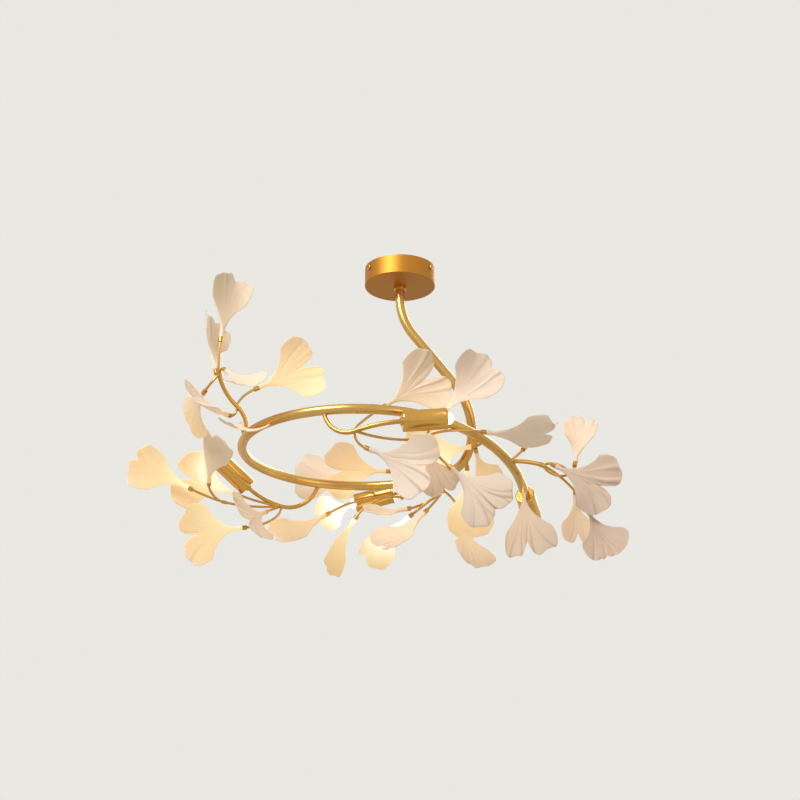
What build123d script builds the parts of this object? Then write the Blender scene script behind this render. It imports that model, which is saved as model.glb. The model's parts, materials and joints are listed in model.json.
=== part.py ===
"""Ceiling light: a brass tube spiral under a round canopy, with sprays of porcelain ginkgo leaves and lamps.

Millimetres, +Z up. The origin is on the ceiling, on the axis of the canopy.
"""

import math
import os
from collections import namedtuple

from build123d import *

# Canopy and ceiling plate
CANOPY_DIAMETER = 100.0
CANOPY_HEIGHT = 28.0
CANOPY_WALL = 1.5
CANOPY_EDGE = 1.2
CEILING_GAP = 0.5
PLATE_THICKNESS = 2.0
PLATE_CLEARANCE = 0.4
SLOT_SPACING = 60.0
SLOT_LENGTH = 14.0
SLOT_WIDTH = 4.5
CABLE_ENTRY_DIAMETER = 14.0
EAR_WIDTH = 12.0
EAR_DROP = 15.0
EAR_ANGLES = (-150.0, -30.0, 90.0)
SCREW_DIAMETER = 4.0
SCREW_LENGTH = 9.0
SCREW_HEAD_DIAMETER = 7.0
SCREW_HEAD_HEIGHT = 2.4
SCREW_DROP = 9.0
SCREW_FIT = 0.1

# Terminal block and supply leads
BLOCK_LENGTH = 26.0
BLOCK_WIDTH = 16.0
BLOCK_HEIGHT = 11.0
BLOCK_OFFSET = 24.0
BLOCK_CORNER = 1.5
LEAD_DIAMETER = 2.2
LEAD_COUNT = 3
LEAD_BEND = 4.5
LEAD_GAP = 0.4

# Stem fixing
NIPPLE_BORE = 6.6
NIPPLE_RISE = 12.0
NIPPLE_ENGAGEMENT = 11.0
NUT_ACROSS_FLATS = 15.0
NUT_HEIGHT = 5.0
COLLAR_DIAMETER = 17.0
COLLAR_HEIGHT = 4.0
RUNNING_GAP = 0.1
THREAD_FIT = 0.05

# Spiral tube
TUBE_DIAMETER = 13.0
TUBE_WALL = 1.5
RING_RADIUS = 160.0
RING_OFFSET = -56.0
RING_DROP = 274.0
RING_START = 40.0
RING_END = 300.0
STEM_STRAIGHT = 50.0
STEM_BEND = 92.0
ENTRY_RUN = 132.0
ENTRY_BEND = 84.0
TAIL_ACROSS = 148.0
TAIL_BACK = 195.0
TAIL_FALL = 38.0
TAIL_STRAIGHT = 14.0
TAIL_ROOT = 0.72
TAIL_INNER_ROOT = 0.45
WIRING_GAP = 0.3

# Sprays
ARM_DIAMETER = 6.0
ARM_BORE = 3.6
STALK_DIAMETER = 3.5
KNUCKLE_LENGTH = 7.0
KNUCKLE_WALL = 0.7
FERRULE_DIAMETER = 6.6
FERRULE_LENGTH = 7.0
STUD_DIAMETER = 3.0
STUD_LENGTH = 8.0
STUD_FIT = 0.08
STUD_END_GAP = 0.3
PLUG_LENGTH = 12.0

# Leaves
LEAF_THICKNESS = 3.0
NECK_DIAMETER = 7.2
NECK_TIP_DIAMETER = 4.4
NECK_LENGTH = 22.0
BLADE_START = 10.0
NECK_FLARE = 0.25
LOBE_ROUNDING = 7.0
LOBE_SWELL = 4.0
LOBE_SHARE = 0.42
NOTCH_SWELL = 1.5
BLANK_REACH = 1.1
BLANK_DEPTH = 0.9

# Lamps
CUP_DIAMETER = 28.0
CUP_LENGTH = 58.0
CUP_WALL = 1.5
CUP_BASE = 3.0
CUP_EDGE = 2.0
HOLDER_DIAMETER = 21.0
HOLDER_HEIGHT = 20.0
PIN_SPACING = 9.0
PIN_DIAMETER = 2.2
PIN_LENGTH = 9.0
PIN_FIT = 0.1
BULB_SEAT_GAP = 0.3
BULB_DIAMETER = 15.0
BULB_LENGTH = 32.0
BULB_BASE_WIDTH = 14.0
BULB_BASE_DEPTH = 9.0
BULB_BASE_CORNER = 2.2
BULB_BASE_HEIGHT = 11.0

# Leaf moulds: length, half spans to the left and right, place of the widest point along the length,
# depth of the notch and its offset to the left, hollow radius across and along the blade
Mould = namedtuple("Mould", "length left right shoulder notch notch_side hollow curl")
MOULDS = {
    "fan": Mould(92.0, 49.0, 46.0, 65.0, 26.0, 3.0, 95.0, 480.0),
    "half": Mould(90.0, 38.0, 35.0, 65.0, 14.0, -4.0, 60.0, 420.0),
    "fold": Mould(90.0, 41.0, 41.0, 63.0, 20.0, 0.0, 55.0, 400.0),
    "bud": Mould(66.0, 29.0, 26.0, 47.0, 12.0, 2.0, 60.0, 300.0),
}

# A leaf grows from a fork. Its seat is the ferrule's end measured from the spray's root, its heading runs
# along the blade, and its hollow face looks the way of facing.
Leaf = namedtuple("Leaf", "fork seat heading facing mould")
# A lamp sits at the end of the spray's arm: seat of the cup's base from the root, and the way it points.
Lamp = namedtuple("Lamp", "seat axis")
# A spray's arm runs from its root on the tube through the named forks to a lamp, or else to the last fork,
# where it has a heading. A twig joins one fork to a further one and has a heading there.
Spray = namedtuple("Spray", "root forks arm heading lamp twigs leaves")
Twig = namedtuple("Twig", "start end heading")


def vec(values):
    """Vector from three numbers."""
    return Vector(*values)


def ring_point(angle):
    """Point on the ring's centre line at an angle from +X."""
    return ring_centre + Vector(RING_RADIUS, 0, 0).rotate(Axis.Z, angle)


def ring_direction(angle):
    """Direction of the tube along the ring at an angle from +X."""
    return Vector(0, 1, 0).rotate(Axis.Z, angle)


def rod(path, diameter):
    """Round rod along a path."""
    with BuildPart() as made:
        with BuildSketch(Plane(origin=path @ 0, z_dir=path % 0)):
            Circle(diameter / 2)
        sweep(path=path)
    return made.part


def round_bar(start, direction, length, diameter):
    """Straight round bar from a point."""
    with BuildPart() as made:
        with BuildSketch(Plane(origin=start, z_dir=direction)):
            Circle(diameter / 2)
        extrude(amount=length)
    return made.part


def keep(part, name):
    """Label a finished piece and write it out."""
    part.label = name
    export_step(part, f"parts/{name}.step")


os.makedirs("parts", exist_ok=True)

# Levels and radii that the pieces share
canopy_inner = CANOPY_DIAMETER / 2 - CANOPY_WALL
canopy_floor = -CANOPY_HEIGHT + CANOPY_WALL
collar_top = -CANOPY_HEIGHT - RUNNING_GAP
stem_top = collar_top - COLLAR_HEIGHT
tube_bore = TUBE_DIAMETER - 2 * TUBE_WALL
nipple_diameter = tube_bore - 2 * THREAD_FIT
ring_centre = Vector(RING_OFFSET, 0, -RING_DROP)
plate_radius = canopy_inner - PLATE_CLEARANCE

# Ceiling plate with two slots for the ceiling screws, a cable entry and three tapped ears
with BuildPart() as ceiling_plate:
    with BuildSketch(Plane.XY.offset(-PLATE_THICKNESS)):
        Circle(plate_radius)
        Circle(CABLE_ENTRY_DIAMETER / 2, mode=Mode.SUBTRACT)
        with GridLocations(0, SLOT_SPACING, 1, 2):
            SlotOverall(SLOT_LENGTH, SLOT_WIDTH, rotation=90, mode=Mode.SUBTRACT)
    extrude(amount=PLATE_THICKNESS)
    for angle in EAR_ANGLES:
        with BuildSketch(Plane.XY.offset(-PLATE_THICKNESS).rotated((0, 0, angle))):
            with Locations((plate_radius - PLATE_THICKNESS, 0)):
                Rectangle(PLATE_THICKNESS, EAR_WIDTH)
        extrude(amount=-(EAR_DROP - PLATE_THICKNESS))
    for angle in EAR_ANGLES:
        with BuildSketch(Plane(origin=(0, 0, -SCREW_DROP), z_dir=Vector(1, 0, 0).rotate(Axis.Z, angle))):
            Circle(SCREW_DIAMETER / 2)
        extrude(amount=plate_radius, mode=Mode.SUBTRACT)
keep(ceiling_plate.part, "ceiling_plate")

# Canopy: a spun cup, open upwards, with a hole for the nipple and three screw holes
with BuildPart() as canopy:
    with BuildSketch(Plane.XY.offset(-CANOPY_HEIGHT)):
        Circle(CANOPY_DIAMETER / 2)
    extrude(amount=CANOPY_HEIGHT - CEILING_GAP)
    fillet(canopy.edges().group_by(Axis.Z)[0], radius=CANOPY_EDGE)
    with BuildSketch(Plane.XY.offset(canopy_floor)):
        Circle(canopy_inner)
    extrude(amount=CANOPY_HEIGHT, mode=Mode.SUBTRACT)
    with BuildSketch(Plane.XY.offset(-CANOPY_HEIGHT)):
        Circle(nipple_diameter / 2 + RUNNING_GAP)
    extrude(amount=CANOPY_HEIGHT, mode=Mode.SUBTRACT)
    for angle in EAR_ANGLES:
        with BuildSketch(Plane(origin=(0, 0, -SCREW_DROP), z_dir=Vector(1, 0, 0).rotate(Axis.Z, angle))):
            Circle(SCREW_DIAMETER / 2 + SCREW_FIT)
        extrude(amount=CANOPY_DIAMETER, mode=Mode.SUBTRACT)
keep(canopy.part, "canopy")

# Three screws through the canopy's wall into the ears
with BuildPart() as canopy_screws:
    for angle in EAR_ANGLES:
        outward = Vector(1, 0, 0).rotate(Axis.Z, angle)
        under_head = outward * (CANOPY_DIAMETER / 2) + Vector(0, 0, -SCREW_DROP)
        with BuildSketch(Plane(origin=under_head, z_dir=outward)):
            Circle(SCREW_HEAD_DIAMETER / 2)
        extrude(amount=SCREW_HEAD_HEIGHT)
        with BuildSketch(Plane(origin=under_head, z_dir=outward)):
            Circle(SCREW_DIAMETER / 2 - THREAD_FIT)
        extrude(amount=-SCREW_LENGTH)
keep(canopy_screws.part, "canopy_screws")

# Terminal block under the plate, and the leads from it down into the stem
block_top = -PLATE_THICKNESS
lead_level = block_top - BLOCK_HEIGHT / 2
lead_pitch = BLOCK_LENGTH / (LEAD_COUNT + 1)
lead_circle = (LEAD_DIAMETER + LEAD_GAP) / 2 / math.sin(math.pi / LEAD_COUNT)
with BuildPart() as terminal_block:
    with BuildSketch(Plane.XY.offset(block_top)):
        with Locations((BLOCK_OFFSET, 0)):
            RectangleRounded(BLOCK_WIDTH, BLOCK_LENGTH, BLOCK_CORNER)
    extrude(amount=-BLOCK_HEIGHT)
keep(terminal_block.part, "terminal_block")

nipple_top = canopy_floor + NIPPLE_RISE
nipple_bottom = stem_top - NIPPLE_ENGAGEMENT
lead_rods = []
for number in range(LEAD_COUNT):
    place = number - (LEAD_COUNT - 1) / 2
    in_bore = Vector(lead_circle, 0, 0).rotate(Axis.Z, 180 - 360 / LEAD_COUNT * place)
    level = lead_level if place else lead_level + LEAD_DIAMETER + LEAD_GAP
    terminal = Vector(BLOCK_OFFSET - BLOCK_WIDTH / 2 - LEAD_GAP, place * lead_pitch, level)
    with BuildLine() as lead_route:
        FilletPolyline(
            terminal,
            Vector(in_bore.X, in_bore.Y, level),
            Vector(in_bore.X, in_bore.Y, nipple_bottom),
            radius=LEAD_BEND,
        )
    lead_rods.append(rod(lead_route.line, LEAD_DIAMETER))
with BuildPart() as supply_leads:
    for lead_rod in lead_rods:
        add(lead_rod)
keep(supply_leads.part, "supply_leads")

# Threaded nipple that hangs the stem in the canopy, its flange nut, and the collar under the canopy
with BuildPart() as stem_nipple:
    with BuildSketch(Plane.XY.offset(nipple_bottom)):
        Circle(nipple_diameter / 2)
        Circle(NIPPLE_BORE / 2, mode=Mode.SUBTRACT)
    extrude(amount=nipple_top - nipple_bottom)
keep(stem_nipple.part, "stem_nipple")

with BuildPart() as nipple_nut:
    with BuildSketch(Plane.XY.offset(canopy_floor + RUNNING_GAP)):
        RegularPolygon(NUT_ACROSS_FLATS / 2, 6, major_radius=False)
        Circle(nipple_diameter / 2 + THREAD_FIT, mode=Mode.SUBTRACT)
    extrude(amount=NUT_HEIGHT)
keep(nipple_nut.part, "nipple_nut")

with BuildPart() as stem_collar:
    with BuildSketch(Plane.XY.offset(stem_top)):
        Circle(COLLAR_DIAMETER / 2)
        Circle(nipple_diameter / 2 + THREAD_FIT, mode=Mode.SUBTRACT)
    extrude(amount=COLLAR_HEIGHT)
keep(stem_collar.part, "stem_collar")

# Spiral tube: stem, ring and tail in one bent piece
entry = ring_point(RING_START)
entry_corner = entry - ring_direction(RING_START) * ENTRY_RUN
ring_exit = ring_point(RING_END)
tail_bend_end = ring_exit + Vector(TAIL_ACROSS, TAIL_BACK, -TAIL_FALL)
tail_curve = TangentArc(ring_exit, tail_bend_end, tangent=ring_direction(RING_END))
tail_direction = tail_curve % 1
tail_end = tail_bend_end + tail_direction * TAIL_STRAIGHT
with BuildLine() as tube_route:
    FilletPolyline(
        Vector(0, 0, stem_top),
        Vector(0, 0, -CANOPY_HEIGHT - STEM_STRAIGHT),
        entry_corner,
        entry,
        radius=[STEM_BEND, ENTRY_BEND],
    )
    CenterArc(ring_centre, RING_RADIUS, RING_START, RING_END - RING_START)
    add(tail_curve)
    Line(tail_curve @ 1, tail_end)
tube_path = tube_route.wire()
tube_outside = rod(tube_path, TUBE_DIAMETER)
tube_inside = rod(tube_path, tube_bore)

SPRAYS = {
    "upper_left": Spray(
        root=ring_point(196),
        forks={"low": (-10, -14, 42), "high": (-34, -31, 82)},
        arm=["low", "high"],
        heading=(-2, -2, 9),
        lamp=None,
        twigs=[],
        leaves=[
            Leaf("high", (-33, -36, 134), (1, 0, 10), (6, -8, 0), "half"),
            Leaf("high", (-41, -14, 95), (-2, 3, 9), (9, -4, 3), "half"),
            Leaf("high", (-22, -52, 78), (5, -6, -6), (1, -7, 7), "half"),
            Leaf("high", (-56, -16, 60), (-4, 8, -2), (8, 3, 4), "half"),
            Leaf("low", (-22, -22, 27), (-5, -8, -1), (7, -3, 7), "half"),
            Leaf("root", (-3, -26, 10), (1, -9, -5), (2, -4, 9), "half"),
            Leaf("low", (17, 4, 76), (9, 2, 5), (3, -9, -1), "fan"),
        ],
    ),
    "lower_left": Spray(
        root=ring_point(113),
        forks={"near": (-54, 3, -34), "far": (-133, -29, -38)},
        arm=["near"],
        heading=None,
        lamp=Lamp((-101, -15, -11), (-7, -3, 6)),
        twigs=[Twig("near", "far", (-9, -4, 1))],
        leaves=[
            Leaf("far", (-183, -47, -22), (-9, -2, 4), (1, -9, -3), "half"),
            Leaf("far", (-154, -47, -13), (1, -9, 4), (7, 5, 6), "half"),
            Leaf("near", (-118, -19, -22), (-9, -2, 3), (0, -9, -4), "fan"),
            Leaf("near", (-75, -31, -54), (-3, -8, -4), (7, -6, 4), "fan"),
            Leaf("near", (-104, -55, -84), (-9, -3, -2), (3, -9, -3), "fan"),
        ],
    ),
    "front": Spray(
        root=ring_point(255),
        forks={"near": (40, -13, -33), "far": (130, 5, -37)},
        arm=["near"],
        heading=None,
        lamp=Lamp((100, -21, -23), (10, 1, 1)),
        twigs=[Twig("near", "far", (10, 2, 2))],
        leaves=[
            Leaf("near", (79, 35, 20), (8, 2, 6), (4, -9, -1), "fan"),
            Leaf("near", (59, -5, -55), (9, -1, -4), (-2, -10, -2), "fan"),
            Leaf("far", (128, 17, -46), (4, 2, -9), (1, -10, -2), "bud"),
            Leaf("far", (154, 5, 0), (7, -1, 7), (0, -10, -2), "half"),
            Leaf("far", (164, 5, -78), (7, -2, -7), (3, 10, 0), "fan"),
            Leaf("far", (211, 59, -9), (10, 1, -1), (1, 4, 9), "half"),
        ],
    ),
    "back": Spray(
        root=ring_point(64),
        forks={"low": (-10, 14, -18), "ring": tuple(ring_point(86) - ring_point(64))},
        arm=[],
        heading=None,
        lamp=Lamp((-24, 50, -1), (-10, 2, -2)),
        twigs=[Twig("root", "low", (-6, 4, -7))],
        leaves=[
            Leaf("root", (-35, 38, 30), (-10, -1, 0), (1, -9, -3), "fan"),
            Leaf("ring", (-85, 52, 12), (-10, 0, 2), (1, 10, 3), "half"),
            Leaf("low", (-79, 24, -25), (-9, -3, -4), (4, -9, -1), "bud"),
            Leaf("low", (-120, -28, -58), (-8, -3, -6), (-1, -8, 6), "half"),
            Leaf("low", (-80, 14, -52), (-5, -1, -8), (8, -4, -5), "half"),
        ],
    ),
    "centre": Spray(
        root=ring_point(46),
        forks={"low": (7, -3, -22)},
        arm=[],
        heading=None,
        lamp=Lamp((2, -48, 10), (-2, -6, -8)),
        twigs=[Twig("root", "low", (2, -2, -9))],
        leaves=[
            Leaf("low", (33, -19, -73), (1, -4, -9), (5, -8, 4), "half"),
            Leaf("low", (-46, 7, -47), (-8, -4, -3), (1, -5, 8), "bud"),
            Leaf("low", (-42, 19, -55), (-8, 2, -6), (4, -5, -7), "half"),
            Leaf("low", (-21, -23, -62), (-6, -2, -7), (-4, -7, 5), "half"),
        ],
    ),
    "tail": Spray(
        root=tail_curve @ TAIL_ROOT,
        forks={"side": (48, 22, 3), "inner": tuple(tail_curve @ TAIL_INNER_ROOT - tail_curve @ TAIL_ROOT)},
        arm=["side"],
        heading=(9, 2, -2),
        lamp=None,
        twigs=[],
        leaves=[
            Leaf("inner", (-53, -48, 5), (-10, 0, -2), (1, -9, -3), "fan"),
            Leaf("inner", (-46, -39, 1), (2, 8, -5), (7, -5, -5), "bud"),
            Leaf("inner", (-57, -4, -14), (0, 4, -9), (2, -9, -4), "half"),
            Leaf("root", (24, 11, 25), (5, 5, 7), (7, 2, -6), "bud"),
            Leaf("side", (66, 18, 0), (9, -1, -5), (-2, -10, -2), "fan"),
            Leaf("side", (95, 37, 12), (2, 3, 9), (-1, -9, 4), "half"),
            Leaf("side", (110, 31, -62), (3, -4, -9), (-2, -10, 1), "half"),
            Leaf("side", (95, 52, -30), (0, 4, -9), (3, -9, -3), "bud"),
            Leaf("root", (21, 21, -38), (0, -2, -10), (4, 9, -3), "fold"),
        ],
    ),
}


def fork_point(spray, name):
    """Place of a fork; the root is the fork on the tube itself."""
    if name == "root":
        return spray.root
    return spray.root + vec(spray.forks[name])


def arm_path(spray):
    """Centre line of a spray's arm, from its end back to the tube, as arcs that run into each other."""
    points = [fork_point(spray, name) for name in reversed(spray.arm)] + [spray.root]
    if spray.lamp is not None:
        start = spray.root + vec(spray.lamp.seat)
        direction = vec(spray.lamp.axis).normalized() * -1
    else:
        start = points.pop(0)
        direction = vec(spray.heading).normalized() * -1
    with BuildLine() as route:
        for point in points:
            piece = TangentArc(start, point, tangent=direction)
            start = piece @ 1
            direction = piece % 1
    return route.wire()


def stalk_path(spray, leaf):
    """Centre line of a leaf's stalk, from the back of its ferrule to its fork."""
    heading = vec(leaf.heading).normalized()
    start = spray.root + vec(leaf.seat) - heading * FERRULE_LENGTH
    return TangentArc(start, fork_point(spray, leaf.fork), tangent=heading * -1)


def twig_path(spray, twig):
    """Centre line of a twig, from its far fork back to its near one."""
    start = fork_point(spray, twig.end)
    heading = vec(twig.heading).normalized()
    return TangentArc(start, fork_point(spray, twig.start), tangent=heading * -1)


def leaf_plane(spray, leaf):
    """Plane of a leaf: origin at its seat, X along the blade, Z out of its hollow face."""
    heading = vec(leaf.heading).normalized()
    facing = vec(leaf.facing)
    normal = facing - heading * facing.dot(heading)
    return Plane(origin=spray.root + vec(leaf.seat), x_dir=heading, z_dir=normal)


def knuckle(centre, heading, diameter):
    """Sleeve over the end of a rod, where stalks branch off."""
    direction = vec(heading).normalized()
    start = centre - direction * KNUCKLE_LENGTH / 2
    return round_bar(start, direction, KNUCKLE_LENGTH, diameter + 2 * KNUCKLE_WALL)


def spray_rods(spray):
    """All the rods, sleeves, ferrules and studs of one spray, before they are brazed together."""
    pieces = []
    pieces.append(rod(arm_path(spray), ARM_DIAMETER))
    if spray.lamp is not None:
        lamp_seat = spray.root + vec(spray.lamp.seat)
        pieces.append(round_bar(lamp_seat, vec(spray.lamp.axis), CUP_BASE, ARM_DIAMETER))
    else:
        pieces.append(knuckle(fork_point(spray, spray.arm[-1]), spray.heading, ARM_DIAMETER))
    for twig in spray.twigs:
        pieces.append(rod(twig_path(spray, twig), STALK_DIAMETER))
        pieces.append(knuckle(fork_point(spray, twig.end), twig.heading, STALK_DIAMETER))
    for leaf in spray.leaves:
        heading = vec(leaf.heading).normalized()
        seat = spray.root + vec(leaf.seat)
        pieces.append(rod(stalk_path(spray, leaf), STALK_DIAMETER))
        ferrule_back = seat - heading * FERRULE_LENGTH
        pieces.append(round_bar(ferrule_back, heading, FERRULE_LENGTH - RUNNING_GAP, FERRULE_DIAMETER))
        pieces.append(round_bar(seat - heading * RUNNING_GAP, heading, STUD_LENGTH, STUD_DIAMETER))
    return pieces


def lead_pieces(spray, diameter):
    """The run inside an arm from the lampholder to the tube, at a diameter."""
    seat = spray.root + vec(spray.lamp.seat)
    axis = vec(spray.lamp.axis).normalized()
    return [rod(arm_path(spray), diameter), round_bar(seat, axis, CUP_BASE, diameter)]


# Brazed frames of the sprays, coped onto the tube; arms that carry a lamp are bored for its lead
lamp_sprays = [name for name in SPRAYS if SPRAYS[name].lamp is not None]
arm_bores = {name: lead_pieces(SPRAYS[name], ARM_BORE) for name in lamp_sprays}
plug_start = tail_end - tail_direction * PLUG_LENGTH
for name, spray in SPRAYS.items():
    pieces = spray_rods(spray)
    with BuildPart() as frame:
        for piece in pieces:
            add(piece)
        add(tube_outside, mode=Mode.SUBTRACT)
        if name in lamp_sprays:
            for bore in arm_bores[name]:
                add(bore, mode=Mode.SUBTRACT)
        if name == "tail":
            add(round_bar(plug_start, tail_direction, PLUG_LENGTH, tube_bore - 2 * THREAD_FIT))
            add(round_bar(tail_end, tail_direction, CUP_BASE, ARM_DIAMETER))
            add(round_bar(plug_start, tail_direction, PLUG_LENGTH + CUP_BASE, ARM_BORE), mode=Mode.SUBTRACT)
    keep(frame.part, f"{name}_frame")

# The tube itself, with a hole in its wall for each lead
with BuildPart() as spiral_tube:
    add(tube_outside)
    add(tube_inside, mode=Mode.SUBTRACT)
    for name in lamp_sprays:
        for bore in arm_bores[name]:
            add(bore, mode=Mode.SUBTRACT)
keep(spiral_tube.part, "spiral_tube")

# Wiring that fills the tube from the nipple to the plug at its tail, and the leads in the arms
wiring_diameter = tube_bore - 2 * WIRING_GAP
wiring_top = nipple_bottom - WIRING_GAP
with BuildPart() as tube_wiring:
    add(rod(tube_path, wiring_diameter))
    nipple_room = round_bar(Vector(0, 0, wiring_top), Vector(0, 0, 1), CANOPY_HEIGHT, TUBE_DIAMETER)
    add(nipple_room, mode=Mode.SUBTRACT)
    wiring_end = tail_end - tail_direction * (PLUG_LENGTH + WIRING_GAP)
    plug_room = round_bar(wiring_end, tail_direction, PLUG_LENGTH + TUBE_WALL, TUBE_DIAMETER)
    add(plug_room, mode=Mode.SUBTRACT)
keep(tube_wiring.part, "tube_wiring")

lead_diameter = ARM_BORE - 2 * WIRING_GAP
with BuildPart() as lamp_leads:
    for name in lamp_sprays:
        for piece in lead_pieces(SPRAYS[name], lead_diameter):
            add(piece)
    add(tube_inside, mode=Mode.SUBTRACT)
    add(round_bar(plug_start, tail_direction, PLUG_LENGTH + CUP_BASE, lead_diameter))
keep(lamp_leads.part, "lamp_leads")

# Lamp planes: origin on the outside of the cup's base, Z along the lamp
lamp_planes = {}
for name in lamp_sprays:
    spray = SPRAYS[name]
    lamp_planes[name] = Plane(origin=spray.root + vec(spray.lamp.seat), z_dir=vec(spray.lamp.axis))
lamp_planes["tail"] = Plane(origin=tail_end, z_dir=tail_direction)

# Socket cup: a turned brass cup on the arm's end
with BuildPart() as cup:
    Cylinder(CUP_DIAMETER / 2, CUP_LENGTH, align=(Align.CENTER, Align.CENTER, Align.MIN))
    fillet(cup.edges().group_by(Axis.Z)[0], radius=CUP_EDGE)
    with BuildSketch(Plane.XY.offset(CUP_BASE)):
        Circle(CUP_DIAMETER / 2 - CUP_WALL)
    extrude(amount=CUP_LENGTH, mode=Mode.SUBTRACT)
    Cylinder(ARM_DIAMETER / 2 + THREAD_FIT, CUP_LENGTH, mode=Mode.SUBTRACT)
with BuildPart() as socket_cups:
    with Locations([plane.location for plane in lamp_planes.values()]):
        add(cup.part)
keep(socket_cups.part, "socket_cups")

# Lampholder: a ceramic block on the cup's floor with two pin holes
holder_top = CUP_BASE + HOLDER_HEIGHT
with BuildPart() as holder:
    with BuildSketch(Plane.XY.offset(CUP_BASE)):
        Circle(HOLDER_DIAMETER / 2)
    extrude(amount=HOLDER_HEIGHT)
    with BuildSketch(Plane.XY.offset(holder_top)):
        with GridLocations(PIN_SPACING, 0, 2, 1):
            Circle(PIN_DIAMETER / 2 + PIN_FIT)
    extrude(amount=-(PIN_LENGTH + 2 * BULB_SEAT_GAP), mode=Mode.SUBTRACT)
with BuildPart() as lampholders:
    with Locations([plane.location for plane in lamp_planes.values()]):
        add(holder.part)
keep(lampholders.part, "lampholders")

# Capsule bulb: two pins, a flat base and a round glass body
bulb_seat = holder_top + BULB_SEAT_GAP
glass_start = bulb_seat + BULB_BASE_HEIGHT
with BuildPart() as bulb:
    with BuildSketch(Plane.XY.offset(bulb_seat)):
        RectangleRounded(BULB_BASE_WIDTH, BULB_BASE_DEPTH, BULB_BASE_CORNER)
    extrude(amount=BULB_BASE_HEIGHT)
    with BuildSketch(Plane.XY.offset(bulb_seat)):
        with GridLocations(PIN_SPACING, 0, 2, 1):
            Circle(PIN_DIAMETER / 2)
    extrude(amount=-PIN_LENGTH)
    with BuildSketch(Plane.XY.offset(glass_start)):
        Circle(BULB_DIAMETER / 2)
    extrude(amount=BULB_LENGTH - BULB_DIAMETER / 2)
    with Locations((0, 0, glass_start + BULB_LENGTH - BULB_DIAMETER / 2)):
        Sphere(BULB_DIAMETER / 2)
for name, plane in lamp_planes.items():
    with BuildPart() as placed_bulb:
        with Locations(plane.location):
            add(bulb.part)
    keep(placed_bulb.part, f"{name}_bulb")


def leaf_blank(mould):
    """One porcelain leaf: a hollowed, curled, notched fan on a round neck with a blind hole for the stud."""
    reach = mould.length * BLANK_REACH
    depth = mould.hollow * BLANK_DEPTH
    neck_side = NECK_TIP_DIAMETER / 2
    with BuildPart() as blank:
        with BuildSketch(Plane.XY.offset(-depth)) as outline:
            with BuildLine():
                right = (mould.shoulder, -mould.right)
                right_tip = (mould.length, -mould.right * LOBE_SHARE)
                notch = (mould.length - mould.notch, mould.notch_side)
                left_tip = (mould.length, mould.left * LOBE_SHARE)
                left = (mould.shoulder, mould.left)
                TangentArc((BLADE_START, -neck_side), right, tangent=(1, -NECK_FLARE))
                SagittaArc(right, right_tip, -LOBE_SWELL)
                SagittaArc(right_tip, notch, -NOTCH_SWELL)
                SagittaArc(notch, left_tip, -NOTCH_SWELL)
                SagittaArc(left_tip, left, -LOBE_SWELL)
                TangentArc((BLADE_START, neck_side), left, tangent=(1, NECK_FLARE))
                Line((BLADE_START, neck_side), (BLADE_START, -neck_side))
            make_face()
            rim = outline.vertices().filter_by_position(Axis.X, mould.shoulder - LOBE_SWELL, reach)
            lobes = [corner for corner in rim if abs(corner.Y - mould.notch_side) > LOBE_ROUNDING]
            fillet(lobes, radius=LOBE_ROUNDING)
        extrude(amount=2 * depth)
        with BuildSketch(Plane.XZ):
            with BuildLine():
                sweep_angle = math.degrees(math.asin(reach / mould.curl))
                under = CenterArc((0, mould.curl), mould.curl + LEAF_THICKNESS / 2, -90, sweep_angle)
                over = CenterArc((0, mould.curl), mould.curl - LEAF_THICKNESS / 2, -90, sweep_angle)
                Line(under @ 0, over @ 0)
                Line(under @ 1, over @ 1)
            make_face()
        revolve(axis=Axis((0, 0, mould.hollow), (1, 0, 0)), mode=Mode.INTERSECT)
        with BuildSketch(Plane.YZ):
            Circle(NECK_DIAMETER / 2)
        with BuildSketch(Plane.YZ.offset(NECK_LENGTH)):
            Circle(NECK_TIP_DIAMETER / 2)
        loft()
        with BuildSketch(Plane.YZ):
            Circle(STUD_DIAMETER / 2 + STUD_FIT)
        extrude(amount=STUD_LENGTH + STUD_END_GAP, mode=Mode.SUBTRACT)
    return blank.part


# The leaves, each turned onto its own stalk
blanks = {name: leaf_blank(mould) for name, mould in MOULDS.items()}
for spray_name, spray in SPRAYS.items():
    for number, leaf in enumerate(spray.leaves, start=1):
        with BuildPart() as placed_leaf:
            with Locations(leaf_plane(spray, leaf).location):
                add(blanks[leaf.mould])
        keep(placed_leaf.part, f"{spray_name}_leaf_{number}")
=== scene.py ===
import json
import math
from collections import namedtuple

import bpy
import numpy as np
from mathutils import Matrix, Vector


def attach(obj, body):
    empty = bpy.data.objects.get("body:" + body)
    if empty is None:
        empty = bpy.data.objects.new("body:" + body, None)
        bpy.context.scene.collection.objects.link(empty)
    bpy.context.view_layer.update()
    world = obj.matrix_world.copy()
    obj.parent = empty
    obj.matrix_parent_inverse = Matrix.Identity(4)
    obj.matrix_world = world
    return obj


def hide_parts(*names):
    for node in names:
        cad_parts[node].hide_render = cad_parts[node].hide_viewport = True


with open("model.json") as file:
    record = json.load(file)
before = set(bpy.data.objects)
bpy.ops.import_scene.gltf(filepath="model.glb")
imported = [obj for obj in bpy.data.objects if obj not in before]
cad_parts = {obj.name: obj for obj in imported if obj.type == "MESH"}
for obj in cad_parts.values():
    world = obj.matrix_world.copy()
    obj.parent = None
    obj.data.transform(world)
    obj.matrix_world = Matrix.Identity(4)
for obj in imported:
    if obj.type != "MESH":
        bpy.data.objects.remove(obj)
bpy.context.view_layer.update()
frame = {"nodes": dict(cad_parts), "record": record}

nodes = frame["nodes"]
joints = {joint["name"]: joint for joint in frame["record"]["behaviour"]["joints"]}
MM = 0.001

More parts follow.
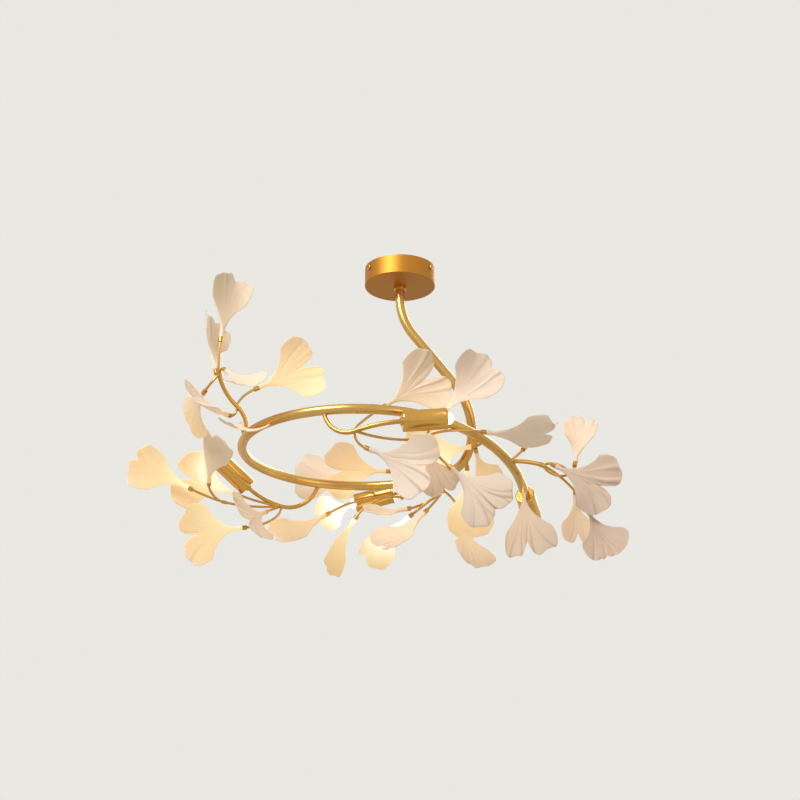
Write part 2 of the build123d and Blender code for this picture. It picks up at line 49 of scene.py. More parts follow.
# Leaf moulds, in millimetres: length, half spans left and right, where the blade is widest, notch depth and
# side, hollow radius across and along the blade
Mould = namedtuple("Mould", "length left right shoulder notch notch_side hollow curl")
MOULDS = {
    "fan": Mould(92.0, 49.0, 46.0, 65.0, 26.0, 3.0, 95.0, 480.0),
    "half": Mould(90.0, 38.0, 35.0, 65.0, 14.0, -4.0, 60.0, 420.0),
    "fold": Mould(90.0, 41.0, 41.0, 63.0, 20.0, 0.0, 55.0, 400.0),
    "bud": Mould(66.0, 29.0, 26.0, 47.0, 12.0, 2.0, 60.0, 300.0),
}

# Each leaf: the way its hollow face looks, mould, fold height in mm, folds, and share of lamp light in it,
# which is below zero for a leaf in the shade of others
Leaf = namedtuple("Leaf", "facing mould fold_height folds light")
LEAVES = {
    "upper_left_leaf_1": Leaf((6, -8, 0), "half", 0.8, 2, 0.20),
    "upper_left_leaf_2": Leaf((9, -4, 3), "half", 0.8, 2, 0.20),
    "upper_left_leaf_3": Leaf((1, -7, 7), "half", 0.9, 2, 0.25),
    "upper_left_leaf_4": Leaf((8, 3, 4), "half", 0.9, 2, 0.60),
    "upper_left_leaf_5": Leaf((7, -3, 7), "half", 0.9, 2, 0.35),
    "upper_left_leaf_6": Leaf((2, -4, 9), "half", 0.8, 2, 0.35),
    "upper_left_leaf_7": Leaf((3, -9, -1), "fan", 1.4, 4, 0.85),
    "lower_left_leaf_1": Leaf((1, -9, -3), "half", 1.0, 2, 1.10),
    "lower_left_leaf_2": Leaf((7, 5, 6), "half", 0.9, 2, 0.25),
    "lower_left_leaf_3": Leaf((0, -9, -4), "fan", 1.0, 3, 0.95),
    "lower_left_leaf_4": Leaf((7, -6, 4), "fan", 1.6, 3, 0.25),
    "lower_left_leaf_5": Leaf((3, -9, -3), "fan", 1.0, 3, 0.95),
    "front_leaf_1": Leaf((4, -9, -1), "fan", 2.0, 4, 0.25),
    "front_leaf_2": Leaf((-2, -10, -2), "fan", 2.0, 4, 0.00),
    "front_leaf_3": Leaf((1, -10, -2), "bud", 1.3, 3, 0.15),
    "front_leaf_4": Leaf((0, -10, -2), "half", 1.3, 2, 0.00),
    "front_leaf_5": Leaf((3, 10, 0), "fan", 2.4, 7, 0.00),
    "front_leaf_6": Leaf((1, 4, 9), "half", 0.8, 2, 0.05),
    "back_leaf_1": Leaf((1, -9, -3), "fan", 1.0, 3, 0.70),
    "back_leaf_2": Leaf((1, 10, 3), "half", 0.9, 2, 0.20),
    "back_leaf_3": Leaf((4, -9, -1), "bud", 0.9, 2, 2.60),
    "back_leaf_4": Leaf((-1, -8, 6), "half", 0.9, 2, 0.55),
    "back_leaf_5": Leaf((8, -4, -5), "half", 1.0, 2, 1.20),
    "centre_leaf_1": Leaf((5, -8, 4), "half", 1.2, 3, 0.30),
    "centre_leaf_2": Leaf((1, -5, 8), "bud", 1.0, 2, 0.30),
    "centre_leaf_3": Leaf((4, -5, -7), "half", 0.9, 2, 1.60),
    "centre_leaf_4": Leaf((-4, -7, 5), "half", 1.0, 3, 0.35),
    "tail_leaf_1": Leaf((1, -9, -3), "fan", 1.8, 6, 1.00),
    "tail_leaf_2": Leaf((7, -5, -5), "bud", 1.2, 2, 0.55),
    "tail_leaf_3": Leaf((2, -9, -4), "half", 1.2, 3, 1.00),
    "tail_leaf_4": Leaf((7, 2, -6), "bud", 0.8, 2, 0.35),
    "tail_leaf_5": Leaf((-2, -10, -2), "fan", 2.8, 6, -0.40),
    "tail_leaf_6": Leaf((-1, -9, 4), "half", 0.9, 2, 0.28),
    "tail_leaf_7": Leaf((-2, -10, 1), "half", 2.0, 7, -0.45),
    "tail_leaf_8": Leaf((3, -9, -3), "bud", 0.8, 2, 0.25),
    "tail_leaf_9": Leaf((4, 9, -3), "fold", 2.4, 5, 0.15),
}

# Leaves pressed by hand away from their mould: share of the mould's span, notch and length
Hand = namedtuple("Hand", "span notch length")
AS_MOULDED = Hand(1.0, 1.0, 1.0)
HAND_SHAPED = {
    "upper_left_leaf_1": Hand(0.88, 0.35, 1.0),
    "upper_left_leaf_2": Hand(1.0, 0.3, 1.0),
    "upper_left_leaf_3": Hand(0.9, 0.5, 0.82),
    "upper_left_leaf_4": Hand(1.0, 0.5, 1.0),
    "upper_left_leaf_7": Hand(1.0, 1.15, 1.0),
    "lower_left_leaf_1": Hand(0.92, 0.6, 1.0),
    "lower_left_leaf_2": Hand(0.85, 0.4, 1.0),
    "front_leaf_1": Hand(1.0, 1.15, 1.0),
    "front_leaf_4": Hand(1.0, 0.45, 1.0),
    "front_leaf_5": Hand(0.92, 0.3, 0.92),
    "front_leaf_6": Hand(0.95, 0.7, 1.0),
    "back_leaf_4": Hand(0.92, 0.7, 1.0),
    "back_leaf_5": Hand(0.85, 0.5, 1.0),
    "centre_leaf_1": Hand(0.9, 0.2, 1.0),
    "tail_leaf_3": Hand(0.95, 0.6, 1.0),
    "tail_leaf_6": Hand(0.7, 0.6, 0.85),
    "tail_leaf_7": Hand(0.95, 0.3, 1.0),
}

# Each lamp: outside of its cup's base in mm, the way it points, and the way its two pins lie
LAMPS = {
    "lower_left": ((-219.52, 132.28, -285.0), (-0.722, -0.3094, 0.6189), (-0.6508, 0.0, -0.7593)),
    "front": ((2.59, -175.55, -297.0), (0.9901, 0.099, 0.099), (-0.0995, 0.0, 0.995)),
    "back": ((-9.86, 193.81, -275.0), (-0.9623, 0.1925, -0.1925), (0.1961, 0.0, -0.9806)),
    "centre": ((57.15, 67.09, -264.0), (-0.1961, -0.5883, -0.7845), (0.0, -0.8, 0.6)),
    "tail": ((175.11, 69.51, -315.91), (0.2224, 0.9341, -0.2795), (0.0, 0.2866, 0.958)),
}


# Materials

def new_group(name, inputs, outputs):
    """Empty shader node group with named sockets."""
    group = bpy.data.node_groups.new(name, "ShaderNodeTree")
    for label, kind, value in inputs:
        socket = group.interface.new_socket(label, in_out="INPUT", socket_type=kind)
        if value is not None:
            socket.default_value = value
    for label, kind in outputs:
        group.interface.new_socket(label, in_out="OUTPUT", socket_type=kind)
    return group, group.nodes.new("NodeGroupInput"), group.nodes.new("NodeGroupOutput")


def put(tree, kind, **values):
    """Node in a tree, with attributes, or input values for names that are inputs."""
    node = tree.nodes.new(kind)
    for key, value in values.items():
        if hasattr(node, key):
            setattr(node, key, value)
        else:
            node.inputs[key.replace("_", " ")].default_value = value
    return node


def maths(tree, operation, first, second):
    """Math node; each side is a socket or a number."""
    node = tree.nodes.new("ShaderNodeMath")
    node.operation = operation
    for socket, value in zip(node.inputs, (first, second)):
        if isinstance(value, (int, float)):
            socket.default_value = value
        else:
            tree.links.new(value, socket)
    return node.outputs[0]


def two_tone(tree, mask, dark, light):
    """Colour between two tones by a mask; a tone is a socket or a colour."""
    mix = tree.nodes.new("ShaderNodeMix")
    mix.data_type = "RGBA"
    tree.links.new(mask, mix.inputs["Factor"])
    for socket, tone in ((mix.inputs[6], dark), (mix.inputs[7], light)):
        if isinstance(tone, tuple):
            socket.default_value = tone
        else:
            tree.links.new(tone, socket)
    return mix.outputs[2]


GRAIN_SHARE = 0.12


def make_satin_mottle():
    """Slow change of tone and gloss over rubbed metal, with a fine satin grain."""
    group, start, end = new_group(
        "satin_mottle",
        [("Vector", "NodeSocketVector", None),
         ("Dark", "NodeSocketColor", None), ("Light", "NodeSocketColor", None),
         ("Patch Scale", "NodeSocketFloat", 14.0), ("Grain Scale", "NodeSocketFloat", 900.0),
         ("Gloss Low", "NodeSocketFloat", 0.25), ("Gloss High", "NodeSocketFloat", 0.4)],
        [("Color", "NodeSocketColor"), ("Roughness", "NodeSocketFloat"), ("Height", "NodeSocketFloat")])
    patch = put(group, "ShaderNodeTexNoise", Detail=4.0, Roughness=0.6)
    grain = put(group, "ShaderNodeTexNoise", Detail=2.0, Roughness=0.7)
    link = group.links.new
    link(start.outputs["Vector"], patch.inputs["Vector"])
    link(start.outputs["Patch Scale"], patch.inputs["Scale"])
    link(start.outputs["Vector"], grain.inputs["Vector"])
    link(start.outputs["Grain Scale"], grain.inputs["Scale"])
    slow = maths(group, "MULTIPLY", patch.outputs["Fac"], 1 - GRAIN_SHARE)
    both = maths(group, "ADD", slow, maths(group, "MULTIPLY", grain.outputs["Fac"], GRAIN_SHARE))
    link(two_tone(group, both, start.outputs["Dark"], start.outputs["Light"]), end.inputs["Color"])
    gloss = put(group, "ShaderNodeMapRange", From_Min=0.3, From_Max=0.7)
    link(both, gloss.inputs["Value"])
    link(start.outputs["Gloss Low"], gloss.inputs["To Min"])
    link(start.outputs["Gloss High"], gloss.inputs["To Max"])
    link(gloss.outputs["Result"], end.inputs["Roughness"])
    link(grain.outputs["Fac"], end.inputs["Height"])
    return group


RING_DRIFT = 0.0012


def make_turned_grain():
    """Fine rings round the Z axis, as a lathe or a polishing wheel leaves them."""
    group, start, end = new_group(
        "turned_grain",
        [("Vector", "NodeSocketVector", None), ("Ring Scale", "NodeSocketFloat", 900.0)],
        [("Height", "NodeSocketFloat")])
    apart = group.nodes.new("ShaderNodeSeparateXYZ")
    together = group.nodes.new("ShaderNodeCombineXYZ")
    link = group.links.new
    link(start.outputs["Vector"], apart.inputs[0])
    square_x = maths(group, "MULTIPLY", apart.outputs[0], apart.outputs[0])
    square_y = maths(group, "MULTIPLY", apart.outputs[1], apart.outputs[1])
    radius = maths(group, "SQRT", maths(group, "ADD", square_x, square_y), 0.0)
    turn = maths(group, "ARCTAN2", apart.outputs[1], apart.outputs[0])
    link(radius, together.inputs[0])
    link(maths(group, "MULTIPLY", turn, RING_DRIFT), together.inputs[1])
    link(apart.outputs[2], together.inputs[2])
    rings = put(group, "ShaderNodeTexNoise", Detail=3.0, Roughness=0.65)
    link(together.outputs[0], rings.inputs["Vector"])
    link(start.outputs["Ring Scale"], rings.inputs["Scale"])
    link(rings.outputs["Fac"], end.inputs["Height"])
    return group


MATT_LEAST = 0.45
MATT_RANGE = 0.2


def make_fired_surface():
    """Unglazed fired clay: cloudy tone and a fine tooth."""
    group, start, end = new_group(
        "fired_surface",
        [("Vector", "NodeSocketVector", None),
         ("Body", "NodeSocketColor", None), ("Cloud", "NodeSocketColor", None),
         ("Cloud Scale", "NodeSocketFloat", 30.0), ("Tooth Scale", "NodeSocketFloat", 1500.0)],
        [("Color", "NodeSocketColor"), ("Roughness", "NodeSocketFloat"), ("Height", "NodeSocketFloat")])
    cloud = put(group, "ShaderNodeTexNoise", Detail=3.0, Roughness=0.55)
    tooth = put(group, "ShaderNodeTexNoise", Detail=2.0, Roughness=0.6)
    link = group.links.new
    link(start.outputs["Vector"], cloud.inputs["Vector"])
    link(start.outputs["Cloud Scale"], cloud.inputs["Scale"])
    link(start.outputs["Vector"], tooth.inputs["Vector"])
    link(start.outputs["Tooth Scale"], tooth.inputs["Scale"])
    tone = two_tone(group, cloud.outputs["Fac"], start.outputs["Body"], start.outputs["Cloud"])
    link(tone, end.inputs["Color"])
    uneven = maths(group, "MULTIPLY", tooth.outputs["Fac"], MATT_RANGE)
    link(maths(group, "ADD", uneven, MATT_LEAST), end.inputs["Roughness"])
    link(tooth.outputs["Fac"], end.inputs["Height"])
    return group


SATIN_MOTTLE = make_satin_mottle()
TURNED_GRAIN = make_turned_grain()
FIRED_SURFACE = make_fired_surface()


def new_material(name):
    """Material with a Principled shader, and the object coordinates of what wears it."""
    material = bpy.data.materials.new(name)
    material.use_nodes = True
    tree = material.node_tree
    shader = tree.nodes["Principled BSDF"]
    where = tree.nodes.new("ShaderNodeTexCoord").outputs["Object"]
    return material, tree, shader, where


def place(tree, group, where, **values):
    """Group node in a material, with its own values."""
    node = tree.nodes.new("ShaderNodeGroup")
    node.node_tree = group
    tree.links.new(where, node.inputs["Vector"])
    for key, value in values.items():
        node.inputs[key.replace("_", " ")].default_value = value
    return node


BUMP_DEPTH = 0.0002
RINGS_BUMP = 0.1
GRAIN_BUMP = 0.05
TOOTH_BUMP = 0.12


def bumped(tree, shader, height, strength):
    """Height to the shader's normal."""
    bump = put(tree, "ShaderNodeBump", Strength=strength, Distance=BUMP_DEPTH)
    tree.links.new(height, bump.inputs["Height"])
    tree.links.new(bump.outputs["Normal"], shader.inputs["Normal"])


def satin_metal(name, dark, light, gloss, turned=False, patch=14.0):
    """Rubbed metal with a satin grain; a turned piece shows the rings of the lathe instead."""
    material, tree, shader, where = new_material(name)
    shader.inputs["Metallic"].default_value = 1.0
    mottle = place(tree, SATIN_MOTTLE, where, Dark=dark, Light=light, Patch_Scale=patch,
                   Gloss_Low=gloss[0], Gloss_High=gloss[1])
    tree.links.new(mottle.outputs["Color"], shader.inputs["Base Color"])
    tree.links.new(mottle.outputs["Roughness"], shader.inputs["Roughness"])
    if turned:
        rings = place(tree, TURNED_GRAIN, where)
        bumped(tree, shader, rings.outputs["Height"], RINGS_BUMP)
    else:
        bumped(tree, shader, mottle.outputs["Height"], GRAIN_BUMP)
    return material


def fired_clay(name, body, cloud, cloud_scale=30.0):
    """Matt fired clay, or plastic with the same dull skin."""
    material, tree, shader, where = new_material(name)
    fired = place(tree, FIRED_SURFACE, where, Body=body, Cloud=cloud, Cloud_Scale=cloud_scale)
    tree.links.new(fired.outputs["Color"], shader.inputs["Base Color"])
    tree.links.new(fired.outputs["Roughness"], shader.inputs["Roughness"])
    bumped(tree, shader, fired.outputs["Height"], TOOTH_BUMP)
    return material, tree, shader


def rgb(red, green, blue):
    """Linear colour from screen values of 0 to 255."""
    shares = [value / 255 for value in (red, green, blue)]
    return tuple(c / 12.92 if c <= 0.0404 else ((c + 0.055) / 1.055) ** 2.4 for c in shares) + (1.0,)


tube_brass = satin_metal("tube_brass", rgb(164, 114, 46), rgb(248, 208, 126), (0.2, 0.3), patch=7.0)
wire_brass = satin_metal("wire_brass", rgb(178, 126, 54), rgb(232, 184, 100), (0.24, 0.36), patch=30.0)
turned_brass = satin_metal("turned_brass", rgb(190, 134, 54), rgb(242, 198, 110), (0.16, 0.24), turned=True)
# The canopy's brass is a darker copy of the tube's brass: painted shade, as its face reflects a dark room
shaded_canopy_brass = satin_metal("shaded_canopy_brass", rgb(168, 108, 36), rgb(200, 140, 58), (0.42, 0.52),
                           turned=True, patch=9.0)
zinc_steel = satin_metal("zinc_steel", rgb(168, 170, 172), rgb(206, 208, 210), (0.3, 0.5), patch=40.0)
holder_clay = fired_clay("holder_clay", rgb(236, 233, 225), rgb(246, 244, 239))[0]
bulb_base_clay = fired_clay("bulb_base_clay", rgb(242, 240, 234), rgb(248, 247, 243))[0]
terminal_plastic = fired_clay("terminal_plastic", rgb(228, 226, 218), rgb(238, 236, 230), 60.0)[0]
wire_sleeve = fired_clay("wire_sleeve", rgb(206, 198, 182), rgb(222, 214, 198), 60.0)[0]

# Porcelain of the leaves: painted shade darkens the creases, and they are warm where a lamp shines through
CREASE_SHADE_TONE = rgb(184, 146, 118)
CREASE_SHADE_STRENGTH = 0.75
WARM_TONE = rgb(214, 182, 142)
WARM_FROM, WARM_FULL = 0.14, 0.5
GLOW_STEPS = ((0.33, (0.36, 0.235, 0.078, 1.0)), (0.66, (0.58, 0.52, 0.3, 1.0)))
GLOW_FULL = (1.0, 1.0, 0.9, 1.0)

leaf_porcelain, leaf_tree, leaf_shader = fired_clay(
    "leaf_porcelain", rgb(234, 211, 192), rgb(243, 225, 208))
leaf_shader.inputs["Subsurface Weight"].default_value = 0.25
leaf_shader.inputs["Subsurface Radius"].default_value = (1.0, 0.7, 0.45)
leaf_shader.inputs["Subsurface Scale"].default_value = 0.004
lit = put(leaf_tree, "ShaderNodeAttribute", attribute_name="lamp_light").outputs["Fac"]
# Painted shade: a darker tone along the creases of each fold, from a value kept on each point
crease_shade_level = put(leaf_tree, "ShaderNodeAttribute", attribute_name="fold_crease_shade").outputs["Fac"]
clay_tone = leaf_shader.inputs["Base Color"].links[0].from_socket
crease_shade_mask = maths(leaf_tree, "MULTIPLY", crease_shade_level, CREASE_SHADE_STRENGTH)
clay_tone = two_tone(leaf_tree, crease_shade_mask, clay_tone, CREASE_SHADE_TONE)
warmed = put(leaf_tree, "ShaderNodeMapRange", From_Min=WARM_FROM, From_Max=WARM_FULL)
leaf_tree.links.new(lit, warmed.inputs["Value"])
warm_tone = two_tone(leaf_tree, warmed.outputs["Result"], clay_tone, WARM_TONE)
leaf_tree.links.new(warm_tone, leaf_shader.inputs["Base Color"])
glow = put(leaf_tree, "ShaderNodeValToRGB")
glow.color_ramp.elements[0].color = (0.0, 0.0, 0.0, 1.0)
glow.color_ramp.elements[1].color = GLOW_FULL
for step, colour in GLOW_STEPS:
    glow.color_ramp.elements.new(step).color = colour
leaf_tree.links.new(lit, glow.inputs["Fac"])
leaf_tree.links.new(glow.outputs["Color"], leaf_shader.inputs["Emission Color"])
leaf_shader.inputs["Emission Strength"].default_value = 1.0

frosted_glass, glass_tree, glass_shader, glass_where = new_material("frosted_glass")
frost = place(glass_tree, FIRED_SURFACE, glass_where, Body=rgb(255, 244, 222), Cloud=rgb(255, 250, 238))
glass_tree.links.new(frost.outputs["Color"], glass_shader.inputs["Base Color"])
glass_tree.links.new(frost.outputs["Color"], glass_shader.inputs["Emission Color"])
glass_shader.inputs["Roughness"].default_value = 0.3
glass_shader.inputs["Emission Strength"].default_value = 9.0


# Leaves: lengths in millimetres, places along a blade from 0 to 1 and across it from -1 to 1

COLUMNS = 77
NECK_ROWS = np.array([0.5, 2.0, 4.0, 6.0, 8.0])
NECK_RADIUS = 3.6
NECK_EDGE = 0.4
NECK_FLARE = math.atan(0.2)
BLADE_START = 10.0
BLADE_ROOT = 2.7
NECK_SIZES = NECK_RADIUS + (BLADE_ROOT - NECK_RADIUS) * NECK_ROWS / BLADE_START
BORE_RADIUS = 1.62
BORE_DEPTH = 8.3
BORE_EDGE = 0.3
BORE_RINGS = ((BORE_DEPTH, BORE_RADIUS), (BORE_EDGE, BORE_RADIUS),
              (0.0, BORE_RADIUS + BORE_EDGE), (0.0, NECK_RADIUS - NECK_EDGE))

# Rows of a blade, closer together where the rim is rounded off
RIM_START = 0.955
BLADE_ROWS = np.concatenate([np.linspace(0, RIM_START, 24), [0.97, 0.982, 0.991, 0.9975, 1.0]])
ALL_ROWS = np.concatenate([np.zeros(len(NECK_ROWS)), BLADE_ROWS])

# How close the columns lie: everywhere, at the two edges and at the notch
COLUMN_STEPS = 2001
EVEN_SHARE = 0.5
EDGE_SHARE, EDGE_EASE = 0.35, 1.002
SLIT_SHARE, SLIT_WIDTH = 3.5, 0.07

# Outline of a blade
FAN_MIDDLE = 0.2
FAN_SPREAD = 1.12
CROWN_WIDTH, CROWN_POWER = 0.42, 2.4
NOTCH_PLACE = 0.9
NOTCH_WIDTH, NOTCH_POWER = 0.095, 1.4
RIM_SIZE = 0.99
RIM_LOBES = ((0.016, 9), (0.012, 17))
CORNER_START, CORNER_CUT = 0.62, 0.27
STRAIGHT = 1e-4

# Folds, ripples and waves of a blade; a pair in brackets holds the least and most of a random draw
PHASE = (0, 6)
FOLD_START = 0.3
FOLD_SPREAD = 1.3
FOLD_SHIFT = (-0.08, 0.08)
FOLD_SWAY, SWAY_TURNS = (0.05, 0.1), 4.5
FOLD_WIDTH = (0.024, 0.038)
FOLD_SHARE = (0.6, 1.0)
FOLD_GAIN = 1.3
FAR_SLOPE = 2.2
# Painted shade along the creases: its width, and the fold height that gets it in full
CREASE_SHADE_WIDTH = 0.8
FULL_SHADE_FOLD_HEIGHT = 2.0
RIPPLE_HEIGHT, RIPPLE_COUNT = 0.12, 17
WAVE_HEIGHT, WAVE_COUNT = 1.6, 5

# Section of a leaf: half its thickness, and its squareness from the round neck to the flat blade
HALF_THICK, HALF_TAPER = 1.35, 0.45
NECK_SHARE = 0.4
ROUND_POWER, FLAT_POWER = 2, 7

# Lamp light in a leaf, distances in metres
GLASS_MIDDLE = 50.0
LAMP_PLACES = [(np.array(seat) + GLASS_MIDDLE * np.array(axis)) * MM for seat, axis, _ in LAMPS.values()]
LAMP_REACH = 0.045
LAMP_NEAREST = 0.02
LAMP_MOST = 1.5
STRAY_LIGHT = 0.07
FAR_LIGHT, NEAR_LIGHT, NEAR_POWER = 0.2, 0.5, 0.6


def columns_across(notch_at):
    """Places across a blade, closer together at its edges and at the notch."""
    fine = np.linspace(-1, 1, COLUMN_STEPS)
    density = EVEN_SHARE + EDGE_SHARE / np.sqrt(EDGE_EASE - fine ** 2)
    density += SLIT_SHARE * np.exp(-((fine - notch_at) / SLIT_WIDTH) ** 2)
    total = np.concatenate([[0], np.cumsum((density[1:] + density[:-1]) / 2)])
    return np.interp(np.linspace(0, 1, COLUMNS), total / total[-1], fine)


def rim_reach(t, mould, hand, notch_at, rng):
    """Distance of the rim from the fan's middle, its angle there, and where that middle is."""
    length, shoulder = mould.length * hand.length, mould.shoulder * hand.length
    middle = FAN_MIDDLE * length
    half = np.where(t > 0, mould.left, mould.right) * hand.span
    angle = FAN_SPREAD * t * np.arctan2(half, shoulder - middle)
    edge = np.hypot(half, shoulder - middle)
    tip = np.hypot(length - middle, half * CROWN_WIDTH)
    reach = edge + (tip - edge) * (1 - np.abs(t) ** CROWN_POWER)
    slit = np.abs(t - notch_at) / NOTCH_WIDTH
    depth = (reach.max() - (length - mould.notch * hand.notch - middle)) * np.exp(-slit ** NOTCH_POWER)
    lobes = np.full(COLUMNS, RIM_SIZE)
    for height, count in RIM_LOBES:
        lobes += height * np.sin(count * t + rng.uniform(*PHASE))
    corner = np.clip((np.abs(t) - CORNER_START) / (1 - CORNER_START), 0, 1)
    return (reach * lobes - depth) * (1 - CORNER_CUT * corner ** 2), angle, middle


def blade_rays(t, reach, angle, middle):
    """Length and breadth of a blade's points, on rays that leave the neck and bend in an arc to the rim."""
    share = BLADE_ROWS[:, None]
    start_y = BLADE_ROOT * t
    run_x = middle + reach * np.cos(angle) - BLADE_START
    run_y = reach * np.sin(angle) - start_y
    chord = np.hypot(run_x, run_y)
    flare = NECK_FLARE * t
    bend = np.arctan2(run_y, run_x) - flare
    straight = np.abs(bend) < STRAIGHT
    radius = np.where(straight, 1.0, chord / (2 * np.sin(np.where(straight, 1.0, bend))))
    turn = flare + 2 * bend * share
    x = BLADE_START + np.where(straight, chord * share, radius * (np.sin(turn) - np.sin(flare)))
    y = start_y + np.where(straight, 0.0, radius * (np.cos(flare) - np.cos(turn)))
    return x, y


def press_folds(t, notch_at, look, rng):
    """Height of a blade's folds, ripples and waves, and the painted shade along its creases."""
    share = BLADE_ROWS[:, None]
    grow = np.clip((share - FOLD_START) / (1 - FOLD_START), 0, 1)
    folds = np.zeros((len(BLADE_ROWS), COLUMNS))
    crease_shades = np.zeros((len(BLADE_ROWS), COLUMNS))
    for number in range(look.folds):
        in_fan = (number - (look.folds - 1) / 2) * FOLD_SPREAD / look.folds
        at = notch_at + in_fan + rng.uniform(*FOLD_SHIFT)
        sway = rng.uniform(*FOLD_SWAY) * np.sin(SWAY_TURNS * share + rng.uniform(*PHASE))
        aside = t - at - sway
        width = rng.uniform(*FOLD_WIDTH)
        height = rng.uniform(*FOLD_SHARE)
        slope = width * np.where(aside > 0, FAR_SLOPE, 1.0)
        folds += rng.choice([-1.0, 1.0]) * height * np.exp(-(aside / slope) ** 2)
        # Painted shade: a dark line on the steep side of each fold
        crease_shades += height * np.exp(-((aside + width) / (CREASE_SHADE_WIDTH * width)) ** 2)
    folds += RIPPLE_HEIGHT * np.sin(RIPPLE_COUNT * t + rng.uniform(*PHASE))
    relief = FOLD_GAIN * look.fold_height * grow * folds
    relief += WAVE_HEIGHT * grow ** 3 * np.sin(WAVE_COUNT * t + rng.uniform(*PHASE))
    crease_shades *= grow * min(look.fold_height / FULL_SHADE_FOLD_HEIGHT, 1)
    # A leaf with a share of lamp light below zero gets painted shade over its whole blade, for the shade of
    # the leaves around it
    return relief, np.maximum(crease_shades, -look.light)


def half_sections(t):
    """Half the thickness over a leaf: a round neck that flattens to a thin blade with a rounded rim."""
    blade = np.clip(ALL_ROWS / NECK_SHARE, 0, 1)
    blade = blade * blade * (3 - 2 * blade)
    neck = np.concatenate([NECK_SIZES, np.full(len(BLADE_ROWS), BLADE_ROOT)])
    half = neck * (1 - blade) + (HALF_THICK - HALF_TAPER * ALL_ROWS) * blade
    at_rim = np.clip(ALL_ROWS - RIM_START, 0, 1) / (1 - RIM_START)
    half *= np.sqrt(np.clip(1 - at_rim ** 2, 0, 1))
    power = (ROUND_POWER + FLAT_POWER * blade)[:, None]
    return half[:, None] * (1 - np.abs(t) ** power) ** (1 / power)


def leaf_skin(front, back):
    """Points and faces round a leaf, from the bottom of its bore over neck and blade to the rim."""
    rows = [np.vstack([near, far[-2:0:-1]]) for near, far in zip(front[:-1], back[:-1])]
    ring = rows[0] * [0, 1, 1]
    ring /= np.linalg.norm(ring, axis=1, keepdims=True)
    rows = [ring * size + [depth, 0, 0] for depth, size in BORE_RINGS] + rows
    count = len(ring)
    points = np.vstack(rows + [front[-1], [[BORE_DEPTH, 0, 0]]])
    last, rim, centre = (len(rows) - 1) * count, len(rows) * count, len(points) - 1
    faces = []
    for low in range(0, last, count):
        high = low + count
        for i in range(count):
            j = (i + 1) % count
            faces.append((low + j, low + i, high + i, high + j))
    for i in range(COLUMNS - 1):
        faces.append((last + i + 1, last + i, rim + i, rim + i + 1))
        other, other_next = (count - i) % count, count - i - 1
        faces.append((last + other, last + other_next, rim + i + 1, rim + i))
    for i in range(count):
        faces.append((i, (i + 1) % count, centre))
    return points, faces


def keep_tone(mesh, label, values):
    """One value for each point of a leaf, which its porcelain reads by name."""
    layer = mesh.attributes.new(label, "FLOAT", "POINT")
    layer.data.foreach_set("value", values)


def leaf_mesh(name, plane, look):
    """Porcelain leaf: bored neck, fan blade with radiating folds, notch and thin rounded rim."""
    mould = MOULDS[look.mould]
    hand = HAND_SHAPED.get(name, AS_MOULDED)
    rng = np.random.default_rng(sum(ord(letter) for letter in name))
    notch_at = mould.notch_side / (mould.left * hand.span) * NOTCH_PLACE
    t = columns_across(notch_at)
    x, y = blade_rays(t, *rim_reach(t, mould, hand, notch_at, rng))
    relief, crease_shades = press_folds(t, notch_at, look, rng)
    rise = mould.curl - np.sqrt(mould.curl ** 2 - x ** 2)
    z = mould.hollow - np.sqrt(np.maximum((mould.hollow - rise) ** 2 - y ** 2, 1.0)) + relief
    neck_rise = mould.curl - np.sqrt(mould.curl ** 2 - NECK_ROWS ** 2)
    x = np.vstack([np.repeat(NECK_ROWS[:, None], COLUMNS, 1), x])
    y = np.vstack([NECK_SIZES[:, None] * t, y])
    z = np.vstack([np.repeat(neck_rise[:, None], COLUMNS, 1), z])
    middle_face = np.stack([x, y, z], axis=-1)
    normal = np.cross(np.gradient(middle_face, axis=0), np.gradient(middle_face, axis=1))
    normal /= np.maximum(np.linalg.norm(normal, axis=-1, keepdims=True), 1e-9)
    offset = normal * half_sections(t)[..., None]
    points, faces = leaf_skin(middle_face + offset, middle_face - offset)
    mesh = bpy.data.meshes.new(name)
    mesh.from_pydata((points * MM).tolist(), [], faces)
    mesh.update()
    mesh.transform(plane)
    mesh.polygons.foreach_set("use_smooth", [True] * len(faces))
    # Painted crease shade for each point, none in the bore and neck
    shade_rows = np.vstack([np.zeros((len(BORE_RINGS) + len(NECK_ROWS), COLUMNS)), crease_shades])
    both_sides = [np.concatenate([tone, tone[-2:0:-1]]) for tone in shade_rows[:-1]]
    keep_tone(mesh, "fold_crease_shade", np.concatenate(both_sides + [shade_rows[-1], [0.0]]))
    return mesh


def leaf_plane(name, facing):
    """Place of a leaf: origin at its ferrule, X along the blade, Z out of its hollow face."""
    joint = joints[f"{name}_turn"]
    heading = Vector(joint["axis"]).normalized()
    normal = Vector(facing)
    normal = (normal - heading * normal.dot(heading)).normalized()
    side = normal.cross(heading)
    plane = Matrix((heading, side, normal)).transposed().to_4x4()
    plane.translation = Vector(joint["pos_m"])
    return plane


def light_leaf(mesh, share):
    """Share of the lamps' warm light that comes through the thin porcelain."""
    points = np.empty(len(mesh.vertices) * 3)
    mesh.vertices.foreach_get("co", points)
    points = points.reshape(-1, 3)
    shine = np.zeros(len(points))
    for lamp_place in LAMP_PLACES:
        distance = np.linalg.norm(points - lamp_place, axis=1)
        shine += (LAMP_REACH / np.maximum(distance, LAMP_NEAREST)) ** 2
    shine = np.clip(shine, 0, LAMP_MOST)
    near = (shine - shine.min()) / max(shine.max() - shine.min(), 1e-6)
    through = max(share, 0) * (FAR_LIGHT + NEAR_LIGHT * near ** NEAR_POWER)
    keep_tone(mesh, "lamp_light", np.clip(STRAY_LIGHT * shine + through, 0, 1))


